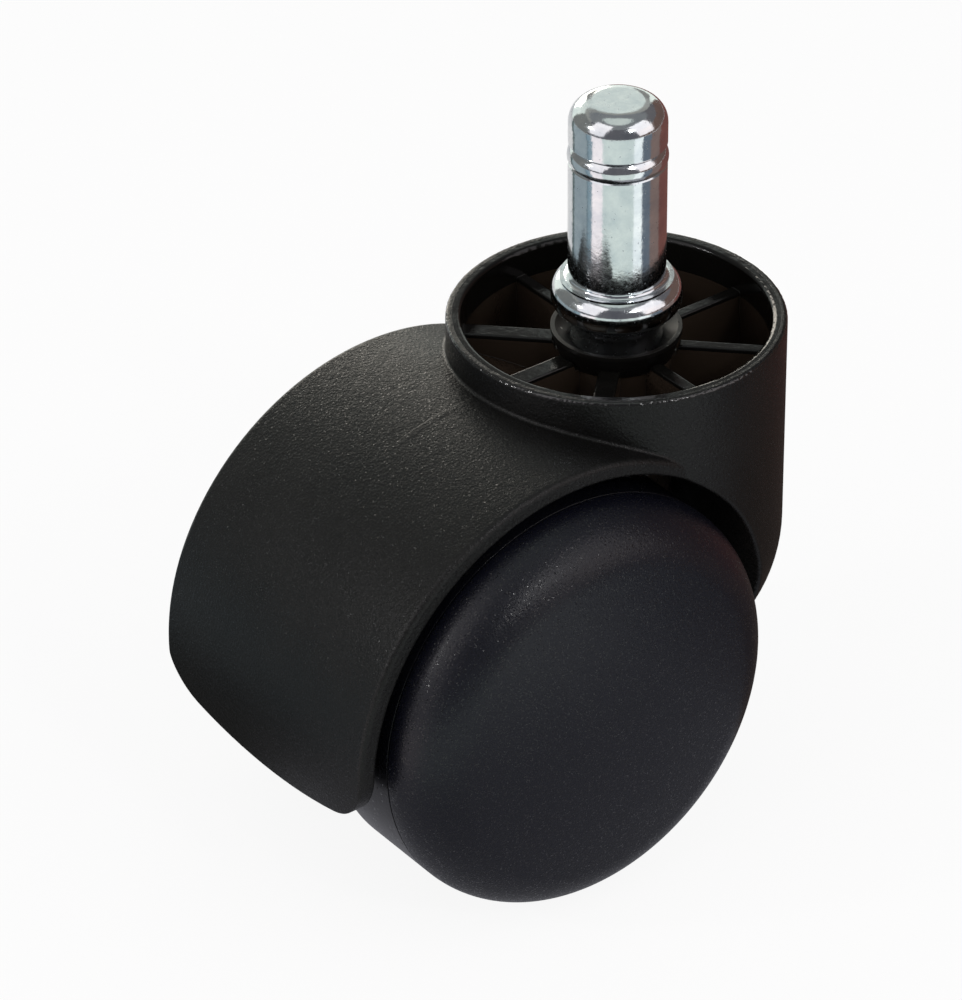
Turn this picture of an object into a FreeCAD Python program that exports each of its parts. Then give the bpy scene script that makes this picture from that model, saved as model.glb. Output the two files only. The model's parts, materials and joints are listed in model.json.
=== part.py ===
import FreeCAD, Part
import math
import os
from FreeCAD import Vector

# Twin-wheel chair caster with a hood and a plug-in stem, in millimetres, +Z up.
# The origin is on the stem's axis, in the plane of the collar's top shoulder, where the chair base sits.
# The barrel stands round the stem and the wheels trail behind it, towards -X, on an axle along Y.
# The right wheel is the one at -Y and the left wheel the one at +Y.

# Stem: the part above the shoulder goes into the chair base.
stem_radius = 5.5
stem_height = 22.0
head_round = 2.6
stem_edge = 0.25
ring_groove_top = 16.75
ring_groove_height = 2.15
ring_groove_radius = 4.4
shoulder_cove = 0.45
collar_radius = 7.4
collar_step_radius = 6.4
collar_step_drop = 0.25
collar_wide_top = -2.0
collar_wide_bottom = -2.4
collar_under_round = 2.2
collar_under_turn = 58.0
neck_radius = 5.2
neck_top = -5.5
neck_flare = (5.5, -4.85)
seat_top = -7.9
shank_radius = 4.0
shank_bottom = -29.0
shank_edge = 0.6
clip_groove_top = -25.6
clip_groove_height = 1.3
clip_groove_radius = 3.0

# Split rings on the stem: one grips the chair base's socket, the other keeps the stem in the boss.
ring_side_gap = 0.1
ring_inner_radius = 4.6
ring_crown_radius = 5.62
ring_top_turn = 50.0
ring_bottom_turn = 20.0
ring_slot = 1.3
ring_slot_turn = 55.0
clip_inner_radius = 3.5
clip_outer_radius = 4.5
clip_slot = 3.4

# Swivel bush: a sleeve with a cup-shaped flange under the collar.
running_gap = 0.05
bush_radius = 5.0
bush_bottom = -24.0
cup_radius = 7.4
cup_rim_z = -6.5
cup_rim_width = 0.5
cup_lip = 0.5
cup_foot_radius = 6.5

# Barrel, with its ribs and the boss that holds the bush.
rim_z = -5.1
barrel_radius = 19.15
barrel_wall = 1.75
rim_round = 0.45
rim_inner_round = 0.5
dome_z = -31.15
boss_radius = 6.3
boss_top = -9.6
boss_bottom = -31.2
boss_edge = 1.0
bore_radius = 4.15
bore_bottom = -29.4
clip_room_radius = 4.9
clip_room_side = 0.25
rib_count = 8
front_rib_thickness = 1.5
rear_rib_thickness = 2.4
rib_bush_gap = 0.3
rib_top = -8.4
rib_edge = 0.25
pocket_floor = -43.2

# Hood over the wheels, round the axle.
axle_x = -20.55
axle_z = -38.6
hood_radius = 29.25
hood_crown = 0.5
hood_half_width = 18.5
hood_edge = 0.7
hood_blend = 0.35
well_x = -20.1
well_z = -39.05
well_radius = 27.6
opening_edge = 0.4
roof_thickness = 1.8
web_half = 2.9

# Lower edge of the hood, seen from behind: a shallow bow with round corners.
edge_middle_z = -45.6
edge_bow_y = 13.0
edge_bow_z = -44.2
edge_corner_y = 16.9
edge_corner_z = -41.8
edge_end_z = -38.2

# Axle and its boss in the middle web.
axle_radius = 4.0
axle_half_length = 18.4
axle_edge = 0.5
axle_boss_radius = 7.2
axle_boss_half = 6.4

# Wheels.
wheel_radius = 25.0
wheel_inner_y = 6.8
tread_outer_y = 17.6
tread_edge = 0.8
tread_wall = 3.2
disc_inner_y = 7.4
disc_thickness = 2.2
hub_radius = 7.6
hub_end_y = 16.4
hub_inner_y = 6.6
wheel_rib_count = 8
wheel_rib_thickness = 1.4
wheel_rib_y = 14.0
wheel_rib_overlap = 1.0

# Domed wheel covers, snapped into the tread ring.
cover_seam = 0.15
cover_wall = 2.0
shoulder_start_y = 17.95
shoulder_radius = 7.2
dome_rise = 1.5
spigot_gap = 0.1
spigot_wall = 1.4
spigot_y = 14.4

# Push-on clips that hold the wheels on the axle.
axle_clip_radius = 6.6
axle_clip_thickness = 0.6
axle_clip_gap = 0.15
axle_clip_rise = 0.9
axle_clip_teeth = 6
axle_clip_slot = 0.7
axle_clip_slot_radius = 5.3

# How far the cutting tools reach past the solids.
overrun = 5.0
far_out = 60.0

# Search for the edges that get a round.
edge_points = 9
match_gap = 0.02


def outline_face(place, start, steps):
    """Closed face from 2-D steps: a point draws a line, a pair of points an arc through the first."""
    edges = []
    here = place(*start)
    for step in steps:
        if isinstance(step[0], tuple):
            middle = place(*step[0])
            there = place(*step[1])
            edges.append(Part.Arc(here, middle, there).toShape())
        else:
            there = place(*step)
            edges.append(Part.makeLine(here, there))
        here = there
    edges.append(Part.makeLine(here, place(*start)))
    return Part.Face(Part.Wire(edges))


def on_stem(radius, z):
    return Vector(radius, 0, z)


def on_axle(radius, y):
    return Vector(axle_x + radius, y, axle_z)


def turned_on_stem(start, steps):
    return outline_face(on_stem, start, steps).revolve(Vector(0, 0, 0), Vector(0, 0, 1), 360)


def turned_on_axle(start, steps):
    face = outline_face(on_axle, start, steps)
    return face.revolve(Vector(axle_x, 0, axle_z), Vector(0, 1, 0), 360)


def upright_cylinder(radius, bottom, top):
    return Part.makeCylinder(radius, top - bottom, Vector(0, 0, bottom), Vector(0, 0, 1))


def cross_cylinder(radius, x, z, y_from, y_to):
    return Part.makeCylinder(radius, y_to - y_from, Vector(x, y_from, z), Vector(0, 1, 0))


def round_point(centre, radius, angle):
    turn = math.radians(angle)
    return (centre[0] + radius * math.cos(turn), centre[1] + radius * math.sin(turn))


def mirrored(shape):
    return shape.mirror(Vector(0, 0, 0), Vector(0, 1, 0))


def make_stem():
    groove_bottom = ring_groove_top - ring_groove_height
    head_centre = (stem_radius - head_round, stem_height - head_round)
    seat_drop = (neck_radius - shank_radius) * seat_slope()
    clip_groove_bottom = clip_groove_top - clip_groove_height
    cove_centre = (stem_radius + shoulder_cove, shoulder_cove)
    top_width = collar_radius - collar_step_radius
    top_drop = -collar_step_drop - collar_wide_top
    top_round = (top_width ** 2 + top_drop ** 2) / (2 * top_width)
    top_centre = (collar_radius - top_round, collar_wide_top)
    top_turn = math.degrees(math.asin(top_drop / top_round))
    under_centre = (collar_radius - collar_under_round, collar_wide_bottom)
    steps = [
        (head_centre[0], stem_height),
        (round_point(head_centre, head_round, 45), (stem_radius, head_centre[1])),
        (stem_radius, ring_groove_top + stem_edge),
        (stem_radius - stem_edge, ring_groove_top),
        (ring_groove_radius, ring_groove_top),
        (ring_groove_radius, groove_bottom),
        (stem_radius - stem_edge, groove_bottom),
        (stem_radius, groove_bottom - stem_edge),
        (stem_radius, shoulder_cove),
        (round_point(cove_centre, shoulder_cove, 225), (cove_centre[0], 0)),
        (collar_step_radius, 0),
        (collar_step_radius, -collar_step_drop),
        (round_point(top_centre, top_round, top_turn / 2), (collar_radius, collar_wide_top)),
        (collar_radius, collar_wide_bottom),
        (round_point(under_centre, collar_under_round, -collar_under_turn / 2),
         round_point(under_centre, collar_under_round, -collar_under_turn)),
        (neck_flare, (neck_radius, neck_top)),
        (neck_radius, seat_top),
        (shank_radius, seat_top - seat_drop),
        (shank_radius, clip_groove_top),
        (clip_groove_radius, clip_groove_top),
        (clip_groove_radius, clip_groove_bottom),
        (shank_radius, clip_groove_bottom),
        (shank_radius, shank_bottom + shank_edge),
        (shank_radius - shank_edge, shank_bottom),
        (0, shank_bottom),
    ]
    return turned_on_stem((0, stem_height), steps)


def seat_slope():
    """Drop per millimetre of radius of the cone on which the stem's neck sits in the bush."""
    cup_mouth = cup_radius - cup_rim_width
    return (cup_rim_z - seat_top) / (cup_mouth - neck_radius - running_gap)


def slotted(ring, slot, turn, height_middle):
    reach = barrel_radius
    cutter = Part.makeBox(reach, slot, reach, Vector(0, -slot / 2, height_middle - reach / 2))
    cutter.rotate(Vector(0, 0, 0), Vector(0, 0, 1), turn)
    return ring.cut(cutter)


def make_grip_ring():
    """Split ring with a round outside that leans up, so that it slides into the chair base."""
    top = ring_groove_top - ring_side_gap
    bottom = ring_groove_top - ring_groove_height + ring_side_gap
    rise = math.sin(math.radians(ring_top_turn)) + math.sin(math.radians(ring_bottom_turn))
    crown_round = (top - bottom) / rise
    crown_z = bottom + crown_round * math.sin(math.radians(ring_bottom_turn))
    centre = (ring_crown_radius - crown_round, crown_z)
    middle_turn = (ring_top_turn - ring_bottom_turn) / 2
    steps = [
        (round_point(centre, crown_round, -ring_bottom_turn)[0], bottom),
        (round_point(centre, crown_round, middle_turn), round_point(centre, crown_round, ring_top_turn)),
        (ring_inner_radius, top),
    ]
    ring = turned_on_stem((ring_inner_radius, bottom), steps)
    return slotted(ring, ring_slot, ring_slot_turn, (top + bottom) / 2)


def make_stem_clip():
    top = clip_groove_top - ring_side_gap
    bottom = clip_groove_top - clip_groove_height + ring_side_gap
    ring = upright_cylinder(clip_outer_radius, bottom, top)
    ring = ring.cut(upright_cylinder(clip_inner_radius, bottom - overrun, top + overrun))
    return slotted(ring, clip_slot, 180.0 + ring_slot_turn, (top + bottom) / 2)


def make_swivel_bush():
    bore = shank_radius + running_gap
    cup_mouth = cup_radius - cup_rim_width
    steps = [
        (cup_radius, cup_rim_z),
        (cup_radius, cup_rim_z - cup_lip),
        (cup_foot_radius, boss_top),
        (bush_radius, boss_top),
        (bush_radius, bush_bottom),
        (bore, bush_bottom),
        (bore, cup_rim_z - (cup_mouth - bore) * seat_slope()),
    ]
    return turned_on_stem((cup_mouth, cup_rim_z), steps)


def barrel_outside():
    """Upright cylinder with a rounded rim, closed below by a half dome of the same radius."""
    rim_centre = (barrel_radius - rim_round, rim_z - rim_round)
    steps = [
        (rim_centre[0], rim_z),
        (round_point(rim_centre, rim_round, 45), (barrel_radius, rim_centre[1])),
        (barrel_radius, dome_z),
        (round_point((0, dome_z), barrel_radius, -45), (0, dome_z - barrel_radius)),
    ]
    return turned_on_stem((0, rim_z), steps)


def hood_outside():
    """Drum round the axle, highest along its middle, of which the rear half is kept."""
    side_y = hood_half_width
    edge_centre = (hood_radius - hood_edge, side_y - hood_edge)
    upper_round = round_point(edge_centre, hood_edge, 45)
    steps = [
        (edge_centre[0], -side_y),
        ((upper_round[0], -upper_round[1]), (hood_radius, -edge_centre[1])),
        ((hood_radius + hood_crown, 0), (hood_radius, edge_centre[1])),
        (upper_round, (edge_centre[0], side_y)),
        (0, side_y),
    ]
    drum = turned_on_axle((0, -side_y), steps)
    behind = Part.makeBox(far_out, 2 * far_out, 2 * far_out, Vector(-far_out, -far_out, -far_out))
    return drum.common(behind)


def edges_where(body, test):
    """Edges of the body whose points all pass the test."""
    found = []
    for edge in body.Edges:
        if edge.Degenerated:
            continue
        if all(test(point) for point in edge.discretize(edge_points)):
            found.append(edge)
    return found


def blend_edges(body):
    """Edges where the hood's top runs into the barrel's wall."""
    def on_join(p):
        on_wall = abs(math.hypot(p.x, p.y) - barrel_radius) < match_gap
        behind = p.x < -match_gap and p.z < rim_z - rim_round - match_gap
        on_top = math.hypot(p.x - axle_x, p.z - axle_z) > hood_radius - hood_edge - match_gap
        return on_wall and behind and on_top

    return edges_where(body, on_join)


def opening_edges(body):
    """Edges of the two wheel openings, in the hood's sides and its lower edge."""
    def on_opening(p):
        reach = math.hypot(p.x - well_x, p.z - well_z)
        return abs(reach - well_radius) < match_gap and abs(p.y) > web_half + match_gap

    return edges_where(body, on_opening)


def rib_top_edges(body):
    """Long edges along the tops of the barrel's ribs."""
    level = edges_where(body, lambda p: abs(p.z - rib_top) < match_gap)
    return [edge for edge in level if edge.Length > rear_rib_thickness + rib_edge]


def below_lower_edge():
    """Everything under the hood's lower edge, whose ends turn up at the hood's corners."""
    def across(y, z):
        return Vector(-far_out, y, z)

    steps = [
        (-hood_half_width, edge_end_z),
        ((-edge_corner_y, edge_corner_z), (-edge_bow_y, edge_bow_z)),
        ((0, edge_middle_z), (edge_bow_y, edge_bow_z)),
        ((edge_corner_y, edge_corner_z), (hood_half_width, edge_end_z)),
        (far_out, edge_end_z),
        (far_out, -2 * far_out),
        (-far_out, -2 * far_out),
    ]
    face = outline_face(across, (-far_out, edge_end_z), steps)
    return face.extrude(Vector(2 * far_out, 0, 0))


def wheel_well(side):
    """Room for one wheel, from the middle web out through the hood's side."""
    room = cross_cylinder(well_radius, well_x, well_z, web_half, far_out)
    return room if side > 0 else mirrored(room)


def room_round_bush():
    """Room that the ribs leave round the bush's cup, narrowing down to the top of the boss."""
    steps = [
        (cup_radius + rib_bush_gap, rim_z),
        (cup_radius + rib_bush_gap, cup_rim_z - cup_lip),
        (cup_foot_radius + rib_bush_gap, boss_top),
        (0, boss_top),
    ]
    return turned_on_stem((0, rim_z), steps)


def barrel_ribs():
    """Ribs from the boss to the barrel's wall, thicker where they stand over the wheels."""
    ribs = []
    height = rib_top - pocket_floor + overrun
    bush_room = room_round_bush()
    for number in range(rib_count):
        turn = number * 360.0 / rib_count
        over_wheels = 90.0 < turn < 270.0
        thickness = rear_rib_thickness if over_wheels else front_rib_thickness
        corner = Vector(0, -thickness / 2, pocket_floor - overrun)
        rib = Part.makeBox(barrel_radius - rim_round, thickness, height, corner)
        rib.rotate(Vector(0, 0, 0), Vector(0, 0, 1), turn)
        ribs.append(rib.cut(bush_room))
    return ribs


def barrel_pockets():
    """The barrel's open inside, between the boss, the ribs and the roof over the wheels."""
    inside_radius = barrel_radius - barrel_wall
    mouth_centre = (inside_radius + rim_inner_round, rim_z - rim_inner_round)
    steps = [
        (mouth_centre[0], rim_z),
        (round_point(mouth_centre, rim_inner_round, 135), (inside_radius, mouth_centre[1])),
        (inside_radius, dome_z),
        (round_point((0, dome_z), inside_radius, -45), (0, dome_z - inside_radius)),
    ]
    room = turned_on_stem((0, rim_z), steps)
    floor_box = Part.makeBox(2 * far_out, 2 * far_out, far_out,
                             Vector(-far_out, -far_out, pocket_floor - far_out))
    roof = cross_cylinder(well_radius + roof_thickness, well_x, well_z, -far_out, far_out)
    room = room.cut(floor_box)
    room = room.cut(roof)
    room = room.cut(upright_cylinder(boss_radius, pocket_floor - overrun, boss_top))
    for rib in barrel_ribs():
        room = room.cut(rib)
    return room


def stem_boss():
    edge_centre_z = boss_bottom + boss_edge
    corner = round_point((boss_radius - boss_edge, edge_centre_z), boss_edge, -45)
    steps = [
        (boss_radius, boss_top),
        (boss_radius, edge_centre_z),
        (corner, (boss_radius - boss_edge, boss_bottom)),
        (0, boss_bottom),
    ]
    return turned_on_stem((0, boss_top), steps)


def stem_bore():
    room_top = clip_groove_top + clip_room_side
    room_bottom = clip_groove_top - clip_groove_height - clip_room_side
    bore = upright_cylinder(bore_radius, bore_bottom, boss_top + overrun)
    bore = bore.fuse(upright_cylinder(bush_radius, bush_bottom, boss_top + overrun))
    return bore.fuse(upright_cylinder(clip_room_radius, room_bottom, room_top))


def make_housing():
    body = barrel_outside().fuse(hood_outside())
    body = body.makeFillet(hood_blend, blend_edges(body))
    body = body.cut(below_lower_edge())
    for side in (-1, 1):
        body = body.cut(wheel_well(side))
    body = body.cut(barrel_pockets())
    body = body.fuse(stem_boss())
    body = body.fuse(cross_cylinder(axle_boss_radius, axle_x, axle_z, -axle_boss_half, axle_boss_half))
    body = body.cut(stem_bore())
    body = body.cut(cross_cylinder(axle_radius, axle_x, axle_z, -far_out, far_out))
    body = body.removeSplitter()
    body = body.makeFillet(rib_edge, rib_top_edges(body))
    return body.makeFillet(opening_edge, opening_edges(body))


def make_axle():
    end = axle_half_length
    steps = [
        (axle_radius - axle_edge, -end),
        (axle_radius, -end + axle_edge),
        (axle_radius, end - axle_edge),
        (axle_radius - axle_edge, end),
        (0, end),
    ]
    return turned_on_axle((0, -end), steps)


def make_wheel():
    """Left wheel: hub, disc and tread ring, open towards its cover."""
    bore = axle_radius + running_gap
    tread_inside = wheel_radius - tread_wall
    disc_outer_y = disc_inner_y + disc_thickness
    edge_centre = (wheel_radius - tread_edge, wheel_inner_y + tread_edge)
    steps = [
        (hub_radius, hub_inner_y),
        (hub_radius, disc_inner_y),
        (tread_inside, disc_inner_y),
        (tread_inside, wheel_inner_y),
        (edge_centre[0], wheel_inner_y),
        (round_point(edge_centre, tread_edge, -45), (wheel_radius, edge_centre[1])),
        (wheel_radius, tread_outer_y),
        (tread_inside, tread_outer_y),
        (tread_inside, disc_outer_y),
        (hub_radius, disc_outer_y),
        (hub_radius, hub_end_y),
        (bore, hub_end_y),
    ]
    wheel = turned_on_axle((bore, hub_inner_y), steps)
    return wheel.multiFuse(wheel_ribs(disc_outer_y, tread_inside)).removeSplitter()


def wheel_ribs(disc_outer_y, tread_inside):
    ribs = []
    inner = hub_radius - wheel_rib_overlap
    length = tread_inside + wheel_rib_overlap - inner
    start_y = disc_outer_y - wheel_rib_overlap
    for number in range(wheel_rib_count):
        corner = Vector(axle_x + inner, start_y, axle_z - wheel_rib_thickness / 2)
        rib = Part.makeBox(length, wheel_rib_y - start_y, wheel_rib_thickness, corner)
        turn = (number + 0.5) * 360.0 / wheel_rib_count
        rib.rotate(Vector(axle_x, 0, axle_z), Vector(0, 1, 0), turn)
        ribs.append(rib)
    return ribs


def make_wheel_cover():
    """Left cover: a shallow dome with a wide round shoulder and a spigot that fits the tread ring."""
    seam_y = tread_outer_y + cover_seam
    spigot_outer = wheel_radius - tread_wall - spigot_gap
    spigot_inner = spigot_outer - spigot_wall
    top_y = shoulder_start_y + shoulder_radius + dome_rise
    shoulder_centre = (wheel_radius - shoulder_radius, shoulder_start_y)
    rise = top_y - shoulder_start_y
    dome_radius = (shoulder_centre[0] ** 2 + rise ** 2 - shoulder_radius ** 2) / (2 * dome_rise)
    dome_centre = (0, top_y - dome_radius)
    lean = math.degrees(math.asin(shoulder_centre[0] / (dome_radius - shoulder_radius)))
    join = 90 - lean
    inner_shoulder = shoulder_radius - cover_wall
    inner_dome = dome_radius - cover_wall
    inner_end = math.degrees(math.acos((spigot_inner - shoulder_centre[0]) / inner_shoulder))
    steps = [
        (wheel_radius, seam_y),
        (wheel_radius, shoulder_start_y),
        (round_point(shoulder_centre, shoulder_radius, join / 2),
         round_point(shoulder_centre, shoulder_radius, join)),
        (round_point(dome_centre, dome_radius, 90 - lean / 2), (0, top_y)),
        (0, top_y - cover_wall),
        (round_point(dome_centre, inner_dome, 90 - lean / 2),
         round_point(shoulder_centre, inner_shoulder, join)),
        (round_point(shoulder_centre, inner_shoulder, (join + inner_end) / 2),
         round_point(shoulder_centre, inner_shoulder, inner_end)),
        (spigot_inner, spigot_y),
        (spigot_outer, spigot_y),
    ]
    return turned_on_axle((spigot_outer, seam_y), steps)


def make_axle_clip():
    """Left push-on clip: a dished washer whose teeth grip the axle outside the hub."""
    base_y = hub_end_y + axle_clip_gap
    thickness = axle_clip_thickness
    foot_radius = axle_clip_slot_radius
    steps = [
        (axle_clip_radius, base_y),
        (axle_clip_radius, base_y + thickness),
        (foot_radius, base_y + thickness),
        (axle_radius, base_y + axle_clip_rise + thickness),
        (axle_radius, base_y + axle_clip_rise),
    ]
    clip = turned_on_axle((foot_radius, base_y), steps)
    for number in range(axle_clip_teeth):
        corner = Vector(axle_x, base_y - overrun, axle_z - axle_clip_slot / 2)
        slot = Part.makeBox(foot_radius, 2 * overrun, axle_clip_slot, corner)
        slot.rotate(Vector(axle_x, 0, axle_z), Vector(0, 1, 0), number * 360.0 / axle_clip_teeth)
        clip = clip.cut(slot)
    return clip


def save(name, shape):
    solid_count = len(shape.Solids)
    if solid_count != 1 or not shape.isValid():
        raise RuntimeError(f"{name}: {solid_count} solids, valid {shape.isValid()}")
    shape.Solids[0].exportStep(f"parts/{name}.step")
    print(f"{name}: {shape.Volume / 1000:.2f} cm3")


def main():
    os.makedirs("parts", exist_ok=True)
    save("housing", make_housing())
    save("swivel_bush", make_swivel_bush())
    save("stem", make_stem())
    save("grip_ring", make_grip_ring())
    save("stem_clip", make_stem_clip())
    save("axle", make_axle())
    sided = {"wheel": make_wheel(), "wheel_cover": make_wheel_cover(), "axle_clip": make_axle_clip()}
    for name, shape in sided.items():
        save(f"{name}_left", shape)
        save(f"{name}_right", mirrored(shape))


main()
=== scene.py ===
import json
import math

import bmesh
import bpy
from mathutils import Matrix, Vector, noise


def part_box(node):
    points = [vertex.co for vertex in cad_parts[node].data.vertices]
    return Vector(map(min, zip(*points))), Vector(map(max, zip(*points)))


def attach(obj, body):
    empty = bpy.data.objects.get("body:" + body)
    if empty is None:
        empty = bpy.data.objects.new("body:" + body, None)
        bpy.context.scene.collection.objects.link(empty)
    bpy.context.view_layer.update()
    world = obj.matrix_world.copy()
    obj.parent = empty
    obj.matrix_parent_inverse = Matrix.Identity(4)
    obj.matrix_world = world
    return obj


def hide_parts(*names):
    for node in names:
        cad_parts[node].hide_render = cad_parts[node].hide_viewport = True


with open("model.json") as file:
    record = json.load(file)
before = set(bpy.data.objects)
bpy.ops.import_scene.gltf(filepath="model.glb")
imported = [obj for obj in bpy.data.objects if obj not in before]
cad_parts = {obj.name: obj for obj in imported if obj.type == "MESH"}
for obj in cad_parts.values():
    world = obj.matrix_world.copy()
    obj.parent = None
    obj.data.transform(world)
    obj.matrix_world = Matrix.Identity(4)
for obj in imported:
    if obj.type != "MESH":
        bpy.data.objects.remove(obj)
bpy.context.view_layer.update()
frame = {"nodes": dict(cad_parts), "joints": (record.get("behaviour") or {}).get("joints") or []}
mm = 0.001
mergeDistance = 1e-7

print("camera")

camera = {
    "azimuth": -37.05,
    "elevation": 33.1,
    "roll": -0.42,
    "distance": 600 * mm,
    "aim": (-19.07 * mm, 0.12 * mm, -22.48 * mm),  # the point in the middle of the picture
    "lens": 193.3,
    "sensorHeight": 36.0,
}


def cameraAxes(azimuth, elevation, roll):
    turn = math.radians(azimuth)
    tilt = math.radians(elevation)
    back = Vector((math.sin(turn) * math.cos(tilt), -math.cos(turn) * math.cos(tilt), math.sin(tilt)))
    right = Vector((math.cos(turn), math.sin(turn), 0))
    up = back.cross(right)
    rolled = Matrix.Rotation(math.radians(roll), 3, back)
    return rolled @ right, rolled @ up, back


def addCamera():
    data = bpy.data.cameras.new("camera")
    data.sensor_fit = "VERTICAL"
    data.sensor_height = camera["sensorHeight"]
    data.lens = camera["lens"]
    data.clip_start = 0.01
    data.clip_end = 20
    right, up, back = cameraAxes(camera["azimuth"], camera["elevation"], camera["roll"])
    turned = Matrix((right, up, back)).transposed().to_4x4()
    place = Vector(camera["aim"]) + camera["distance"] * back
    view = bpy.data.objects.new("camera", data)
    view.matrix_world = Matrix.Translation(place) @ turned
    bpy.context.scene.collection.objects.link(view)
    bpy.context.scene.camera = view


addCamera()

print("studio")

studio = {
    "floorSize": 3.0,
    "floorGrey": 0.9,
    "floorWhite": 0.9,  # how far the camera sees the floor as plain white
    "daylight": 0.55,  # what the white surroundings give to matt surfaces
    "cardLift": 0.3 * mm,
}
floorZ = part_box("wheel_left")[0].z
cardZ = floorZ + studio["cardLift"]

# Cards that only reflections see. Each is a line of (radius, height) points in metres, swung about the stem
# between two directions in degrees, where 0 is +X and 90 is +Y. The two shades stand close, and keep a bright
# wall off the rim's flat and the ribs.
cards = {
    "backdrop": {"line": ((1.3, floorZ), (1.3, 0.66)), "swing": (32, 108), "colour": (0.98, 1.05, 0.98)},
    "backdropTop": {"line": ((1.3, 0.66), (1.3, 1.05)), "swing": (46, 112), "colour": (0.74, 0.81, 0.77)},
    "cornerTop": {"line": ((1.3, 0.66), (1.4, 1.0)), "swing": (34, 46), "colour": (0.40, 0.40, 0.38)},
    "shadeLeft": {"line": ((0.0775, 0.0615), (0.0905, 0.0395)),
                  "swing": (57, 67), "colour": (0.26, 0.26, 0.25)},
    "shadeRight": {"line": ((0.0775, 0.0615), (0.0905, 0.0395)),
                   "swing": (37, 47), "colour": (0.26, 0.26, 0.25)},
    "skyWindow": {"line": ((1.25, 0.04), (1.25, 0.56)), "swing": (54, 84), "colour": (4.7, 4.4, 3.9)},
    "ceiling": {"line": ((1.3, 1.45), (0.9, 1.75), (0.62, 1.75)),
                "swing": (0, 360), "colour": (0.22, 0.23, 0.24)},
    "skylight": {"line": ((0.62, 1.75), (0.0, 1.75)), "swing": (0, 360), "colour": (0.62, 0.68, 0.65)},
    "backTop": {"line": ((1.4, 1.0), (1.3, 1.5)), "swing": (30, 143), "colour": (0.34, 0.34, 0.32)},
    "slateWall": {"line": ((1.2, floorZ), (1.2, 1.1)), "swing": (104, 163), "colour": (0.195, 0.200, 0.195)},
    "darkRoom": {"line": ((1.6, floorZ), (1.6, 1.8), (1.2, 2.0)),
                 "swing": (143, 280), "colour": (0.12, 0.12, 0.135)},
    "brownWall": {"line": ((1.5, floorZ), (1.5, 0.8)), "swing": (280, 396), "colour": (0.150, 0.098, 0.084)},
    "brownTop": {"line": ((1.5, 0.8), (1.5, 1.8)), "swing": (280, 396), "colour": (0.135, 0.13, 0.14)},
    "slateEdge": {"line": ((0.095, cardZ), (1.1, cardZ)), "swing": (105, 114), "colour": (0.12, 0.16, 0.16)},
    "slateFloor": {"line": ((0.095, cardZ), (1.1, cardZ)), "swing": (114, 157), "colour": (0.33, 0.39, 0.42)},
    "slateSeam": {"line": ((0.095, cardZ), (1.1, cardZ)), "swing": (157, 160), "colour": (0.16, 0.22, 0.25)},
    "slateFront": {"line": ((0.095, cardZ), (1.1, cardZ)), "swing": (160, 171), "colour": (0.27, 0.37, 0.43)},
    "pinkSheet": {"line": ((0.095, cardZ), (1.1, cardZ)), "swing": (171, 197), "colour": (1.18, 1.08, 1.10)},
    "paperFront": {"line": ((0.095, cardZ), (1.1, cardZ)), "swing": (197, 268), "colour": (0.74, 0.83, 0.80)},
    "whiteSheet": {"line": ((0.095, cardZ), (1.1, cardZ)), "swing": (268, 289), "colour": (1.12, 1.18, 1.18)},
    "darkStrip": {"line": ((0.095, cardZ), (1.1, cardZ)), "swing": (289, 311), "colour": (0.15, 0.18, 0.22)},
    "brownFloor": {"line": ((0.095, cardZ), (1.1, cardZ)),
                   "swing": (311, 341), "colour": (0.23, 0.165, 0.15)},
    "redFloor": {"line": ((0.095, cardZ), (1.1, cardZ)), "swing": (341, 413), "colour": (0.18, 0.075, 0.065)},
    # The three near discs are painted shadow: flat dark sheets that stand for the object's own shadow on the
    # floor around it, as reflections see it.
    "nearShade": {"line": ((0.0, cardZ), (0.095, cardZ)), "swing": (53, 165), "colour": (0.06, 0.06, 0.058)},
    "nearShadowLeft": {"line": ((0.0, cardZ), (0.095, cardZ)), "swing": (165, 305), "colour": (0.33, 0.33, 0.36)},
    "nearShadowRight": {"line": ((0.0, cardZ), (0.095, cardZ)), "swing": (305, 413), "colour": (0.11, 0.085, 0.075)},
}
cardStep = 6  # degrees between the edges of a card

lamps = {
    "softboxLeft": {"direction": (181, 35), "distance": 1.1,
                    "size": (0.74, 1.2), "power": 2.8, "colour": (1, 0.95, 0.97)},
    "softboxRight": {"direction": (299, 32), "distance": 1.1,
                     "size": (0.86, 1.1), "power": 3.3, "colour": (1, 0.95, 0.97)},
    "flashLeft": {"direction": (161, 26), "distance": 1.05,
                  "size": (0.08, 0.08), "power": 1.2, "colour": (1, 1, 1)},
    "flashRight": {"direction": (266, 38), "distance": 1.05,
                   "size": (0.12, 0.12), "power": 1.3, "colour": (1, 1, 1)},
}


def polar(radius, angle, height):
    turn = math.radians(angle)
    return Vector((radius * math.cos(turn), radius * math.sin(turn), height))


def towards(azimuth, elevation):
    tilt = math.radians(elevation)
    return polar(math.cos(tilt), azimuth, math.sin(tilt))


def addObject(name, mesh):
    piece = bpy.data.objects.new(name, mesh)
    bpy.context.scene.collection.objects.link(piece)
    return piece


def addNode(tree, kind, values=None, **settings):
    node = tree.nodes.new(kind)
    for name, value in settings.items():
        setattr(node, name, value)
    for socket, value in (values or {}).items():
        node.inputs[socket].default_value = value
    return node


def join(tree, output, target):
    tree.links.new(output, target)


def addFloor():
    mesh = bpy.data.meshes.new("floor")
    shape = bmesh.new()
    bmesh.ops.create_grid(shape, x_segments=1, y_segments=1, size=studio["floorSize"])
    bmesh.ops.translate(shape, verts=shape.verts, vec=(0, 0, floorZ))
    shape.to_mesh(mesh)
    shape.free()
    floor = addObject("floor", mesh)
    floor.data.materials.append(floorMaterial())


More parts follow.
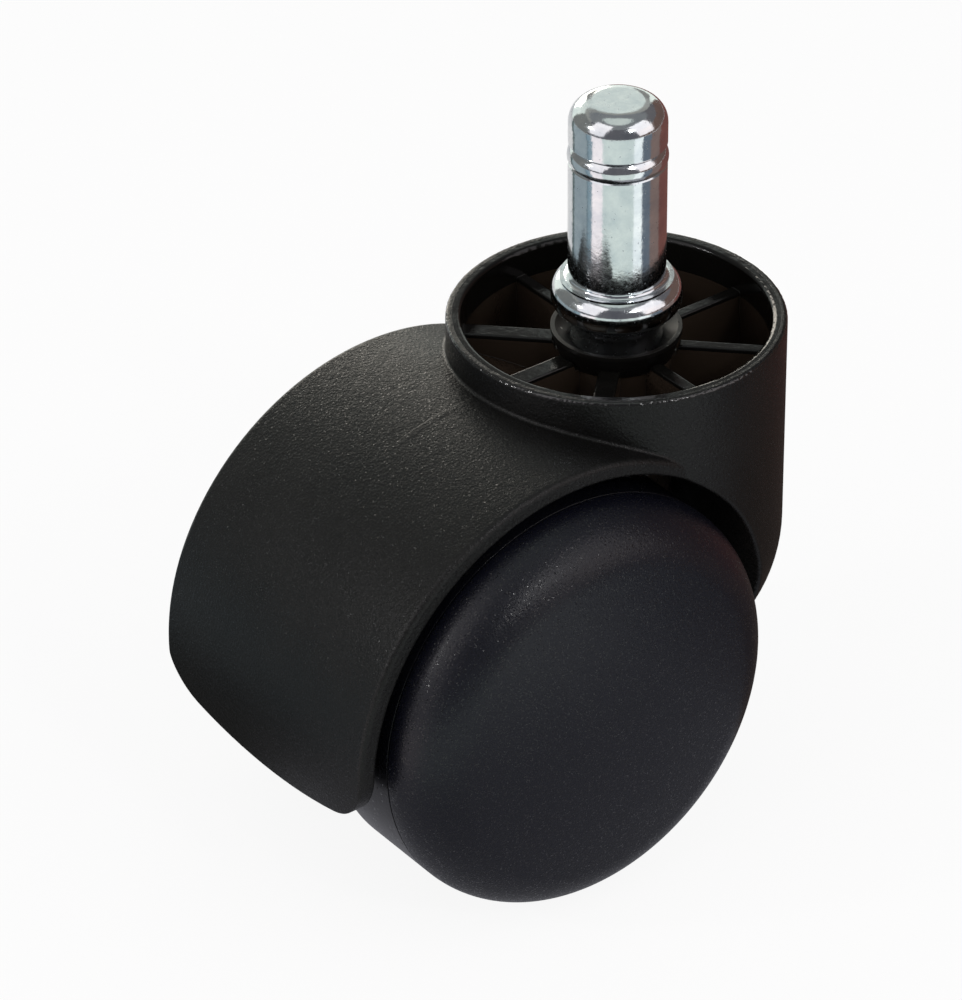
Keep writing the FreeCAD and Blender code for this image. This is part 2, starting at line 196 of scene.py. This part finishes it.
def floorMaterial():
    material = bpy.data.materials.new("floorPaper")
    material.use_nodes = True
    tree = material.node_tree
    tree.nodes.clear()
    output = addNode(tree, "ShaderNodeOutputMaterial")
    paper = addNode(tree, "ShaderNodeBsdfDiffuse", {"Color": (*[studio["floorGrey"]] * 3, 1)})
    white = addNode(tree, "ShaderNodeEmission", {"Color": (1, 1, 1, 1), "Strength": 1})
    path = addNode(tree, "ShaderNodeLightPath")
    share = addNode(tree, "ShaderNodeMath", {1: studio["floorWhite"]}, operation="MULTIPLY")
    mix = addNode(tree, "ShaderNodeMixShader")
    join(tree, path.outputs["Is Camera Ray"], share.inputs[0])
    join(tree, share.outputs[0], mix.inputs["Fac"])
    join(tree, paper.outputs[0], mix.inputs[1])
    join(tree, white.outputs[0], mix.inputs[2])
    join(tree, mix.outputs[0], output.inputs["Surface"])
    return material


def addWorld():
    world = bpy.data.worlds.new("studio")
    world.use_nodes = True
    bpy.context.scene.world = world
    tree = world.node_tree
    background = tree.nodes["Background"]
    background.inputs["Color"].default_value = (1, 1, 1, 1)
    path = addNode(tree, "ShaderNodeLightPath")
    seen = addNode(tree, "ShaderNodeMath", operation="MAXIMUM")
    seenToo = addNode(tree, "ShaderNodeMath", operation="MAXIMUM")
    strength = addNode(tree, "ShaderNodeMapRange", {"To Min": studio["daylight"], "To Max": 1})
    join(tree, path.outputs["Is Camera Ray"], seen.inputs[0])
    join(tree, path.outputs["Is Glossy Ray"], seen.inputs[1])
    join(tree, seen.outputs[0], seenToo.inputs[0])
    join(tree, path.outputs["Is Transmission Ray"], seenToo.inputs[1])
    join(tree, seenToo.outputs[0], strength.inputs["Value"])
    join(tree, strength.outputs["Result"], background.inputs["Strength"])


def addCard(name, card):
    shape = bmesh.new()
    first, last = card["swing"]
    row = [shape.verts.new(polar(radius, first, height)) for radius, height in card["line"]]
    edges = [shape.edges.new(pair) for pair in zip(row, row[1:])]
    steps = max(1, round((last - first) / cardStep))
    bmesh.ops.spin(shape, geom=row + edges, axis=(0, 0, 1), cent=(0, 0, 0),
                   angle=math.radians(last - first), steps=steps)
    mesh = bpy.data.meshes.new(name)
    shape.to_mesh(mesh)
    shape.free()
    piece = addObject(name, mesh)
    piece.visible_camera = False
    piece.visible_diffuse = False
    piece.visible_shadow = False
    piece.visible_transmission = False
    material = bpy.data.materials.new(name)
    material.use_nodes = True
    tree = material.node_tree
    tree.nodes.clear()
    output = addNode(tree, "ShaderNodeOutputMaterial")
    glow = addNode(tree, "ShaderNodeEmission", {"Color": (*card["colour"], 1), "Strength": 1})
    join(tree, glow.outputs[0], output.inputs["Surface"])
    mesh.materials.append(material)


def addLamp(name, lamp):
    data = bpy.data.lights.new(name, "AREA")
    data.shape = "RECTANGLE"
    data.size, data.size_y = lamp["size"]
    data.energy = lamp["power"]
    data.color = lamp["colour"]
    view = bpy.data.objects.new(name, data)
    back = towards(*lamp["direction"])
    view.location = back * lamp["distance"]
    view.rotation_euler = back.to_track_quat("Z", "Y").to_euler()
    view.visible_camera = False
    bpy.context.scene.collection.objects.link(view)


addFloor()
addWorld()
for name, card in cards.items():
    addCard(name, card)
for name, lamp in lamps.items():
    addLamp(name, lamp)
bpy.context.scene.view_settings.view_transform = "Standard"

print("finishes")


def newGroup(name, inputs, outputs):
    group = bpy.data.node_groups.new(name, "ShaderNodeTree")
    for socket, kind in inputs.items():
        group.interface.new_socket(socket, in_out="INPUT", socket_type=kind)
    for socket, kind in outputs.items():
        group.interface.new_socket(socket, in_out="OUTPUT", socket_type=kind)
    return group, addNode(group, "NodeGroupInput"), addNode(group, "NodeGroupOutput")


def sizedCoordinates(tree, sizeSocket):
    place = addNode(tree, "ShaderNodeTexCoord")
    invert = addNode(tree, "ShaderNodeMath", {0: 1.0}, operation="DIVIDE")
    scaled = addNode(tree, "ShaderNodeVectorMath", operation="SCALE")
    join(tree, sizeSocket, invert.inputs[1])
    join(tree, place.outputs["Object"], scaled.inputs[0])
    join(tree, invert.outputs[0], scaled.inputs["Scale"])
    return scaled.outputs[0]


def makeCloudGroup():
    # slow changes of tone over a surface, from 0 to 1
    group, start, end = newGroup("cloud", {"Size": "NodeSocketFloat"}, {"Cloud": "NodeSocketFloat"})
    where = sizedCoordinates(group, start.outputs["Size"])
    drift = addNode(group, "ShaderNodeTexNoise", {"Scale": 1.0, "Detail": 3.0, "Roughness": 0.6})
    spread = addNode(group, "ShaderNodeMapRange", {"From Min": 0.3, "From Max": 0.7})
    join(group, where, drift.inputs["Vector"])
    join(group, drift.outputs["Fac"], spread.inputs["Value"])
    join(group, spread.outputs["Result"], end.inputs["Cloud"])
    return group


def makeGrainGroup():
    # spark-eroded mould grain: a height, and a few flat facets that are polished and lean at random
    numbers = ("Size", "Facet Size", "Facet Share", "Facet Tilt", "Edge Round", "Polish")
    group, start, end = newGroup(
        "mouldGrain",
        {name: "NodeSocketFloat" for name in numbers},
        {"Height": "NodeSocketFloat", "Facet": "NodeSocketFloat", "Edge": "NodeSocketFloat",
         "Normal": "NodeSocketVector"},
    )
    where = sizedCoordinates(group, start.outputs["Size"])
    bumps = addNode(group, "ShaderNodeTexNoise", {"Scale": 1.0, "Detail": 3.0, "Roughness": 0.65})
    pits = addNode(group, "ShaderNodeTexVoronoi", {"Scale": 0.8})
    height = addNode(group, "ShaderNodeMath", operation="ADD")
    join(group, where, bumps.inputs["Vector"])
    join(group, where, pits.inputs["Vector"])
    join(group, bumps.outputs["Fac"], height.inputs[0])
    join(group, pits.outputs["Distance"], height.inputs[1])
    rest = addNode(group, "ShaderNodeMath", {0: 1.0}, operation="SUBTRACT")
    levelled = addNode(group, "ShaderNodeMath", operation="MULTIPLY")
    join(group, start.outputs["Polish"], rest.inputs[1])
    join(group, height.outputs[0], levelled.inputs[0])
    join(group, rest.outputs[0], levelled.inputs[1])
    join(group, levelled.outputs[0], end.inputs["Height"])

    facetWhere = sizedCoordinates(group, start.outputs["Facet Size"])
    cells = addNode(group, "ShaderNodeTexVoronoi", {"Scale": 1.0})
    chance = addNode(group, "ShaderNodeTexWhiteNoise")
    facet = addNode(group, "ShaderNodeMath", operation="LESS_THAN")
    share = addNode(group, "ShaderNodeMath", operation="MULTIPLY")
    join(group, facetWhere, cells.inputs["Vector"])
    join(group, cells.outputs["Position"], chance.inputs["Vector"])
    join(group, chance.outputs["Value"], facet.inputs[0])
    join(group, start.outputs["Facet Share"], share.inputs[0])
    join(group, rest.outputs[0], share.inputs[1])
    join(group, share.outputs[0], facet.inputs[1])
    join(group, facet.outputs[0], end.inputs["Facet"])

    centred = addNode(group, "ShaderNodeVectorMath", {1: (0.5, 0.5, 0.5)}, operation="SUBTRACT")
    amount = addNode(group, "ShaderNodeMath", operation="MULTIPLY")
    lean = addNode(group, "ShaderNodeVectorMath", operation="SCALE")
    rounded = addNode(group, "ShaderNodeBevel", samples=4)
    leaned = addNode(group, "ShaderNodeVectorMath", operation="ADD")
    unit = addNode(group, "ShaderNodeVectorMath", operation="NORMALIZE")
    join(group, cells.outputs["Color"], centred.inputs[0])
    join(group, facet.outputs[0], amount.inputs[0])
    join(group, start.outputs["Facet Tilt"], amount.inputs[1])
    join(group, centred.outputs[0], lean.inputs[0])
    join(group, amount.outputs[0], lean.inputs["Scale"])
    join(group, start.outputs["Edge Round"], rounded.inputs["Radius"])
    join(group, rounded.outputs[0], leaned.inputs[0])
    join(group, lean.outputs[0], leaned.inputs[1])
    join(group, leaned.outputs[0], unit.inputs[0])
    join(group, unit.outputs[0], end.inputs["Normal"])

    flat = addNode(group, "ShaderNodeNewGeometry")
    likeness = addNode(group, "ShaderNodeVectorMath", operation="DOT_PRODUCT")
    edge = addNode(group, "ShaderNodeMapRange", {"From Min": 0.995, "From Max": 0.9})
    join(group, flat.outputs["Normal"], likeness.inputs[0])
    join(group, rounded.outputs[0], likeness.inputs[1])
    join(group, likeness.outputs["Value"], edge.inputs["Value"])
    join(group, edge.outputs["Result"], end.inputs["Edge"])
    return group


def makeInsideGroup():
    # Inside is 1 near the stem's axis, above a floor and on faces that don't look down; Deep is 1 where that
    # is also below a height
    group, start, end = newGroup(
        "insideBarrel",
        {"Radius": "NodeSocketFloat", "Height": "NodeSocketFloat", "Floor": "NodeSocketFloat"},
        {"Inside": "NodeSocketFloat", "Deep": "NodeSocketFloat"},
    )
    place = addNode(group, "ShaderNodeTexCoord")
    flat = addNode(group, "ShaderNodeVectorMath", {1: (1, 1, 0)}, operation="MULTIPLY")
    reach = addNode(group, "ShaderNodeVectorMath", operation="LENGTH")
    near = addNode(group, "ShaderNodeMath", operation="LESS_THAN")
    join(group, place.outputs["Object"], flat.inputs[0])
    join(group, flat.outputs[0], reach.inputs[0])
    join(group, reach.outputs["Value"], near.inputs[0])
    join(group, start.outputs["Radius"], near.inputs[1])
    parts = addNode(group, "ShaderNodeSeparateXYZ")
    above = addNode(group, "ShaderNodeMath", operation="GREATER_THAN")
    nearAbove = addNode(group, "ShaderNodeMath", operation="MULTIPLY")
    join(group, place.outputs["Object"], parts.inputs[0])
    join(group, parts.outputs["Z"], above.inputs[0])
    join(group, start.outputs["Floor"], above.inputs[1])
    join(group, near.outputs[0], nearAbove.inputs[0])
    join(group, above.outputs[0], nearAbove.inputs[1])
    surface = addNode(group, "ShaderNodeNewGeometry")
    facing = addNode(group, "ShaderNodeSeparateXYZ")
    notDown = addNode(group, "ShaderNodeMath", {1: -0.3}, operation="GREATER_THAN")
    inside = addNode(group, "ShaderNodeMath", operation="MULTIPLY")
    join(group, surface.outputs["True Normal"], facing.inputs[0])
    join(group, facing.outputs["Z"], notDown.inputs[0])
    join(group, nearAbove.outputs[0], inside.inputs[0])
    join(group, notDown.outputs[0], inside.inputs[1])
    join(group, inside.outputs[0], end.inputs["Inside"])
    below = addNode(group, "ShaderNodeMath", operation="LESS_THAN")
    deep = addNode(group, "ShaderNodeMath", operation="MULTIPLY")
    join(group, parts.outputs["Z"], below.inputs[0])
    join(group, start.outputs["Height"], below.inputs[1])
    join(group, inside.outputs[0], deep.inputs[0])
    join(group, below.outputs[0], deep.inputs[1])
    join(group, deep.outputs[0], end.inputs["Deep"])
    return group


cloudGroup = makeCloudGroup()
grainGroup = makeGrainGroup()
insideGroup = makeInsideGroup()

# the edge colours in these looks are a painted highlight on rounded edges
# the facet colours are a painted lift on the polished facets
plastics = {
    "housingNylon": {
        "dark": (0.0030, 0.0029, 0.0026), "light": (0.0050, 0.0047, 0.0042), "cloudSize": 9 * mm,
        "edgePaintedHighlight": (0.016, 0.0155, 0.014), "roughness": (0.40, 0.47), "edgeRoughness": 0.34,
        "facetPaintedLift": (0.006, 0.006, 0.007), "facetRoughness": 0.19,
        "grainSize": 0.26 * mm, "grainDepth": 0.034 * mm, "rippleSize": 1.2 * mm, "rippleDepth": 0.020 * mm,
        "facetSize": 0.09 * mm, "facetShare": 0.10, "facetTilt": 0.48,
        "edgeRound": 0.15 * mm, "gloss": 0.30,
        "insideRadius": 18.4 * mm, "insideTop": -8.9 * mm, "insideFloor": -28.0 * mm,
        # the inside colour is painted light: the same nylon shown lighter and warmer deep in the barrel
        "deepPaintedLight": (0.025, 0.0175, 0.0125), "insideRoughness": 0.13,
    },
    "rimNylon": {
        "dark": (0.0030, 0.0029, 0.0026), "light": (0.0050, 0.0047, 0.0042), "cloudSize": 9 * mm,
        "edgePaintedHighlight": (0.016, 0.0155, 0.014), "roughness": (0.08, 0.15), "edgeRoughness": 0.12,
        "facetPaintedLift": (0.007, 0.007, 0.007), "facetRoughness": 0.12,
        "grainSize": 0.20 * mm, "grainDepth": 0.010 * mm, "rippleSize": 0.5 * mm, "rippleDepth": 0.010 * mm,
        "facetSize": 0.20 * mm, "facetShare": 0.05, "facetTilt": 0.40,
        "edgeRound": 0.0, "gloss": 0.8,
    },
    "wheelNylon": {
        "dark": (0.0026, 0.0028, 0.0048), "light": (0.0040, 0.0043, 0.0068), "cloudSize": 8 * mm,
        "edgePaintedHighlight": (0.014, 0.014, 0.015), "roughness": (0.24, 0.30), "edgeRoughness": 0.24,
        "facetPaintedLift": (0.008, 0.008, 0.008), "facetRoughness": 0.12,
        "grainSize": 0.30 * mm, "grainDepth": 0.005 * mm, "rippleSize": 2 * mm, "rippleDepth": 0.010 * mm,
        "facetSize": 0.20 * mm, "facetShare": 0.03, "facetTilt": 0.35,
        "edgeRound": 0.12 * mm, "gloss": 0.35,
    },
    "coverNylon": {
        "dark": (0.0022, 0.0026, 0.0068), "light": (0.0032, 0.0037, 0.0086), "cloudSize": 11 * mm,
        "edgePaintedHighlight": (0.012, 0.0125, 0.014), "roughness": (0.34, 0.40), "edgeRoughness": 0.32,
        "facetPaintedLift": (0.009, 0.009, 0.011), "facetRoughness": 0.10,
        "grainSize": 0.24 * mm, "grainDepth": 0.018 * mm, "rippleSize": 2 * mm, "rippleDepth": 0.012 * mm,
        "facetSize": 0.12 * mm, "facetShare": 0.16, "facetTilt": 0.42,
        "edgeRound": 0.0, "gloss": 0.35,
    },
    "bushNylon": {
        "dark": (0.0034, 0.0030, 0.0027), "light": (0.0050, 0.0045, 0.0040), "cloudSize": 4 * mm,
        "edgePaintedHighlight": (0.012, 0.011, 0.010), "roughness": (0.36, 0.44), "edgeRoughness": 0.34,
        "facetPaintedLift": (0.006, 0.006, 0.006), "facetRoughness": 0.2,
        "grainSize": 0.30 * mm, "grainDepth": 0.004 * mm, "rippleSize": 2 * mm, "rippleDepth": 0.006 * mm,
        "facetSize": 0.20 * mm, "facetShare": 0.01, "facetTilt": 0.3,
        "edgeRound": 0.12 * mm, "gloss": 0.25,
    },
}


def newMaterial(name):
    material = bpy.data.materials.new(name)
    material.use_nodes = True
    return material, material.node_tree, material.node_tree.nodes["Principled BSDF"]


def placeGroup(tree, group, **values):
    node = addNode(tree, "ShaderNodeGroup", node_tree=group)
    for socket, value in values.items():
        node.inputs[socket.replace("_", " ")].default_value = value
    return node


def mixColours(tree, factor, first, second):
    mix = addNode(tree, "ShaderNodeMix", data_type="RGBA")
    join(tree, factor, mix.inputs["Factor"])
    for socket, colour in ((mix.inputs[6], first), (mix.inputs[7], second)):
        if isinstance(colour, tuple):
            socket.default_value = (*colour, 1)
        else:
            join(tree, colour, socket)
    return mix.outputs[2]


def mixNumbers(tree, factor, first, second):
    mix = addNode(tree, "ShaderNodeMix", data_type="FLOAT")
    join(tree, factor, mix.inputs["Factor"])
    for socket, number in ((mix.inputs[2], first), (mix.inputs[3], second)):
        if isinstance(number, float):
            socket.default_value = number
        else:
            join(tree, number, socket)
    return mix.outputs[0]


def plasticMaterial(name, look):
    material, tree, shader = newMaterial(name)
    cloud = placeGroup(tree, cloudGroup, Size=look["cloudSize"]).outputs["Cloud"]
    grain = placeGroup(tree, grainGroup, Size=look["grainSize"], Edge_Round=look["edgeRound"],
                       Facet_Size=look["facetSize"], Facet_Share=look["facetShare"], Facet_Tilt=look["facetTilt"])
    tone = mixColours(tree, cloud, look["dark"], look["light"])
    rough = mixNumbers(tree, cloud, *look["roughness"])
    if "insideRadius" in look:
        place = placeGroup(tree, insideGroup, Radius=look["insideRadius"], Height=look["insideTop"],
                           Floor=look["insideFloor"])
        join(tree, place.outputs["Inside"], grain.inputs["Polish"])
        # deep inside the barrel the same nylon is painted lighter and warmer: painted light in the recess
        tone = mixColours(tree, place.outputs["Deep"], tone, look["deepPaintedLight"])
        rough = mixNumbers(tree, place.outputs["Inside"], rough, look["insideRoughness"])
    # rounded edges are painted lighter: a painted highlight along them
    tone = mixColours(tree, grain.outputs["Edge"], tone, look["edgePaintedHighlight"])
    # the polished facets are painted a little lighter, a painted lift that keeps them from looking darker than
    # the surface around them where they mirror something dark
    tone = mixColours(tree, grain.outputs["Facet"], tone, look["facetPaintedLift"])
    rough = mixNumbers(tree, grain.outputs["Edge"], rough, look["edgeRoughness"])
    rough = mixNumbers(tree, grain.outputs["Facet"], rough, look["facetRoughness"])
    ripple = placeGroup(tree, cloudGroup, Size=look["rippleSize"]).outputs["Cloud"]
    wave = addNode(tree, "ShaderNodeBump", {"Strength": 1.0, "Distance": look["rippleDepth"]})
    bump = addNode(tree, "ShaderNodeBump", {"Strength": 1.0, "Distance": look["grainDepth"]})
    join(tree, ripple, wave.inputs["Height"])
    join(tree, grain.outputs["Normal"], wave.inputs["Normal"])
    join(tree, grain.outputs["Height"], bump.inputs["Height"])
    join(tree, wave.outputs["Normal"], bump.inputs["Normal"])
    join(tree, tone, shader.inputs["Base Color"])
    join(tree, rough, shader.inputs["Roughness"])
    join(tree, bump.outputs["Normal"], shader.inputs["Normal"])
    shader.inputs["Specular IOR Level"].default_value = look["gloss"]
    return material


metals = {
    "zincPlate": {
        "dark": (0.62, 0.66, 0.69), "light": (0.80, 0.82, 0.82),
        "cloudSize": 2.2 * mm, "roughness": (0.07, 0.17),
        "speckSize": 0.14 * mm, "speckShare": 0.008, "speckColour": (0.52, 0.55, 0.58), "speckRoughness": 0.3,
        "lineSize": (1.6 * mm, 1.6 * mm, 0.05 * mm), "lineDepth": 0.0004 * mm,
        "rippleSize": 0.5 * mm, "rippleDepth": 0.004 * mm,
    },
    "axleSteel": {
        "dark": (0.42, 0.42, 0.43), "light": (0.56, 0.56, 0.57),
        "cloudSize": 3 * mm, "roughness": (0.22, 0.34),
        "speckSize": 0.3 * mm, "speckShare": 0.02, "speckColour": (0.2, 0.2, 0.2), "speckRoughness": 0.5,
        "lineSize": (1.6 * mm, 0.06 * mm, 1.6 * mm), "lineDepth": 0.002 * mm,
        "rippleSize": 0.5 * mm, "rippleDepth": 0.002 * mm,
    },
    "springSteel": {
        "dark": (0.16, 0.16, 0.17), "light": (0.30, 0.30, 0.32),
        "cloudSize": 2 * mm, "roughness": (0.34, 0.48),
        "speckSize": 0.3 * mm, "speckShare": 0.05, "speckColour": (0.08, 0.08, 0.09), "speckRoughness": 0.6,
        "lineSize": (0.2 * mm, 0.2 * mm, 0.2 * mm), "lineDepth": 0.003 * mm,
        "rippleSize": 0.6 * mm, "rippleDepth": 0.003 * mm,
    },
}


def metalMaterial(name, look):
    material, tree, shader = newMaterial(name)
    shader.inputs["Metallic"].default_value = 1
    cloud = placeGroup(tree, cloudGroup, Size=look["cloudSize"]).outputs["Cloud"]
    ripple = placeGroup(tree, cloudGroup, Size=look["rippleSize"]).outputs["Cloud"]
    specks = placeGroup(tree, grainGroup, Size=look["speckSize"], Facet_Size=look["speckSize"],
                        Facet_Share=look["speckShare"], Facet_Tilt=0.0, Edge_Round=0.0).outputs["Facet"]
    tone = mixColours(tree, cloud, look["dark"], look["light"])
    tone = mixColours(tree, specks, tone, look["speckColour"])
    rough = mixNumbers(tree, ripple, *look["roughness"])
    rough = mixNumbers(tree, specks, rough, look["speckRoughness"])
    place = addNode(tree, "ShaderNodeTexCoord")
    stretch = addNode(tree, "ShaderNodeMapping", {"Scale": tuple(1 / size for size in look["lineSize"])})
    lines = addNode(tree, "ShaderNodeTexNoise", {"Scale": 1.0, "Detail": 2.0})
    lineBump = addNode(tree, "ShaderNodeBump", {"Strength": 1.0, "Distance": look["lineDepth"]})
    rippleBump = addNode(tree, "ShaderNodeBump", {"Strength": 1.0, "Distance": look["rippleDepth"]})
    join(tree, place.outputs["Object"], stretch.inputs["Vector"])
    join(tree, stretch.outputs[0], lines.inputs["Vector"])
    join(tree, lines.outputs["Fac"], lineBump.inputs["Height"])
    join(tree, ripple, rippleBump.inputs["Height"])
    join(tree, lineBump.outputs["Normal"], rippleBump.inputs["Normal"])
    join(tree, tone, shader.inputs["Base Color"])
    join(tree, rough, shader.inputs["Roughness"])
    join(tree, rippleBump.outputs["Normal"], shader.inputs["Normal"])
    return material


materials = {}
for name, look in plastics.items():
    materials[name] = plasticMaterial(name, look)
for name, look in metals.items():
    materials[name] = metalMaterial(name, look)

nodeFinish = {
    "housing": "housingNylon",
    "swivel_bush": "bushNylon",
    "stem": "zincPlate",
    "grip_ring": "zincPlate",
    "stem_clip": "springSteel",
    "axle": "axleSteel",
    "axle_clip_left": "springSteel",
    "axle_clip_right": "springSteel",
    "wheel_left": "wheelNylon",
    "wheel_right": "wheelNylon",
    "wheel_cover_left": "coverNylon",
    "wheel_cover_right": "coverNylon",
}
for name, finish in nodeFinish.items():
    node = frame["nodes"][name]
    node.data.materials.clear()
    node.data.materials.append(materials[finish])

print("turned pieces")


def arcPoints(centre, radius, fromAngle, toAngle, steps):
    # points of (radius, height) along an arc, both ends included
    points = []
    for step in range(steps + 1):
        turn = math.radians(fromAngle + (toAngle - fromAngle) * step / steps)
        points.append((centre[0] + radius * math.cos(turn), centre[1] + radius * math.sin(turn)))
    return points


def turnedPiece(name, profile, centre, axis, across, segments, finish, sharpAngle=40):
    # a profile of (radius, height) points in millimetres, turned once about an axis
    shape = bmesh.new()
    middle, out, along = Vector(centre), Vector(across), Vector(axis)
    verts = [shape.verts.new(middle + mm * (radius * out + height * along)) for radius, height in profile]
    edges = [shape.edges.new(pair) for pair in zip(verts, verts[1:])]
    if profile[0][0] > 0:
        edges.append(shape.edges.new((verts[-1], verts[0])))
    bmesh.ops.spin(shape, geom=verts + edges, axis=axis, cent=centre, angle=math.tau, steps=segments,
                   use_merge=True)
    bmesh.ops.remove_doubles(shape, verts=shape.verts, dist=mergeDistance)
    bmesh.ops.dissolve_degenerate(shape, edges=shape.edges, dist=mergeDistance)
    bmesh.ops.recalc_face_normals(shape, faces=shape.faces)
    mesh = bpy.data.meshes.new(name)
    shape.to_mesh(mesh)
    shape.free()
    mesh.shade_smooth()
    mesh.set_sharp_from_angle(angle=math.radians(sharpAngle))
    mesh.materials.append(materials[finish])
    return addObject(name, mesh)


wheelCover = {
    "radius": 25.0,
    "seamY": 17.75,
    "shoulderY": 17.95,
    "shoulderRadius": 7.2,
    "domeRise": 1.5,
    "wall": 2.0,
    "spigotOuter": 21.7,
    "spigotInner": 20.3,
    "spigotY": 14.4,
    "seamSet": 0.1,  # how far the seam's edge is set in
    "seamDrop": 0.06,  # and how tall that small chamfer is
    "segments": 192,
}


def wheelCoverProfile():
    c = wheelCover
    shoulder = (c["radius"] - c["shoulderRadius"], c["shoulderY"])
    top = c["shoulderY"] + c["shoulderRadius"] + c["domeRise"]
    rise = top - c["shoulderY"]
    domeRadius = (shoulder[0] ** 2 + rise ** 2 - c["shoulderRadius"] ** 2) / (2 * c["domeRise"])
    dome = (0, top - domeRadius)
    lean = math.degrees(math.asin(shoulder[0] / (domeRadius - c["shoulderRadius"])))
    innerShoulder = c["shoulderRadius"] - c["wall"]
    innerEnd = math.degrees(math.acos((c["spigotInner"] - shoulder[0]) / innerShoulder))
    points = [(c["spigotOuter"], c["seamY"]), (c["radius"] - c["seamSet"], c["seamY"]),
              (c["radius"], c["seamY"] + c["seamDrop"])]
    points += arcPoints(shoulder, c["shoulderRadius"], 0, 90 - lean, 26)
    points += arcPoints(dome, domeRadius, 90 - lean, 90, 16)[1:-1]
    points += [(0, top), (0, top - c["wall"])]
    points += arcPoints(dome, domeRadius - c["wall"], 90, 90 - lean, 10)[1:]
    points += arcPoints(shoulder, innerShoulder, 90 - lean, innerEnd, 8)[1:]
    points += [(c["spigotInner"], c["spigotY"]), (c["spigotOuter"], c["spigotY"])]
    return points


def axleCentre():
    joint = next(joint for joint in frame["joints"] if joint["name"] == "wheel_left_spin")
    return (joint["pos_m"][0], 0, joint["pos_m"][2])


for side, direction in (("left", 1), ("right", -1)):
    cover = turnedPiece(f"wheelCover_{side}", wheelCoverProfile(), axleCentre(), (0, direction, 0), (1, 0, 0),
                        wheelCover["segments"], "coverNylon")
    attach(cover, f"wheel_{side}")
    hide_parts(f"wheel_cover_{side}")

print("small mould marks")

rimEdge = {
    "radius": 19.15,
    "top": -5.1,
    "round": 0.45,
    "fromAngle": 24,  # stretch of the rim's round that is ragged, in degrees above its outermost line
    "toAngle": 62,
    "proud": 0.012,
    "sunk": 0.2,
    "segments": 900,
    "ragged": 0.05,
    "raggedFrom": 0.6,  # share of the round's radius past which the edge is ragged
    "teeth": 3.2,  # waves of raggedness per millimetre
    "seed": 1795479065,  # starts the noise, which the clock would start otherwise, so each run gives this edge
}


def ragged(point, size, amount):
    # a small shove in a direction that changes from place to place
    return amount * mm * noise.noise_vector(point / mm * size)


def addRimEdge():
    r = rimEdge
    centre = (r["radius"] - r["round"], r["top"] - r["round"])
    outside = arcPoints(centre, r["round"] + r["proud"], r["fromAngle"], r["toAngle"], 4)
    inside = arcPoints(centre, r["round"] - r["sunk"], r["toAngle"], r["fromAngle"], 1)
    piece = turnedPiece("rimEdge", outside + inside, (0, 0, 0), (0, 0, 1), (1, 0, 0), r["segments"],
                        "rimNylon", sharpAngle=1)
    noise.seed_set(r["seed"])
    for vertex in piece.data.vertices:
        if math.hypot(vertex.co.x, vertex.co.y) > (centre[0] + r["round"] * r["raggedFrom"]) * mm:
            vertex.co += ragged(vertex.co, r["teeth"], r["ragged"])
    return piece


edge = addRimEdge()
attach(edge, "housing")

hoodSeam = {
    "lift": 29.75,  # radius of the hood's crest about the axle
    "fromAngle": 87,
    "toAngle": 122,
    "fade": 0.55,  # share of the line that keeps its height before it dies away
    "halfWidth": 0.45,
    "proud": 0.018,
    "sunk": 0.3,
    "sharpAngle": 30,
    "segments": 120,
}


def addHoodSeam():
    # the fine raised line where the two halves of the mould met, along the hood's crest
    h = hoodSeam
    middle = Vector(axleCentre())
    shape = bmesh.new()
    side = h["halfWidth"]
    outline = ((-side, -h["sunk"]), (-side, 0), (0, h["proud"]), (side, 0), (side, -h["sunk"]))
    verts = [shape.verts.new(middle + mm * Vector((h["lift"] + rise, y, 0))) for y, rise in outline]
    edges = [shape.edges.new(pair) for pair in zip(verts, verts[1:] + verts[:1])]
    start = Matrix.Rotation(-math.radians(h["fromAngle"]), 3, "Y")
    bmesh.ops.rotate(shape, verts=verts, cent=middle, matrix=start)
    bmesh.ops.edgeloop_fill(shape, edges=edges)
    bmesh.ops.spin(shape, geom=shape.verts[:] + shape.edges[:] + shape.faces[:], axis=(0, 1, 0), cent=middle,
                   angle=-math.radians(h["toAngle"] - h["fromAngle"]), steps=h["segments"])
    bmesh.ops.remove_doubles(shape, verts=shape.verts, dist=mergeDistance)
    bmesh.ops.recalc_face_normals(shape, faces=shape.faces)
    for vertex in shape.verts:  # the line sinks into the hood where it dies away
        arm = vertex.co - middle
        angle = math.degrees(math.atan2(arm.z, arm.x))
        along = (angle - h["fromAngle"]) / (h["toAngle"] - h["fromAngle"])
        arm.y = 0
        drop = 2 * h["proud"] * max(0.0, along - h["fade"]) / (1 - h["fade"])
        vertex.co -= drop * mm * arm.normalized()
    mesh = bpy.data.meshes.new("hoodSeam")
    shape.to_mesh(mesh)
    shape.free()
    mesh.shade_smooth()
    mesh.set_sharp_from_angle(angle=math.radians(h["sharpAngle"]))
    mesh.materials.append(materials["housingNylon"])
    return addObject("hoodSeam", mesh)


seam = addHoodSeam()
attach(seam, "housing")
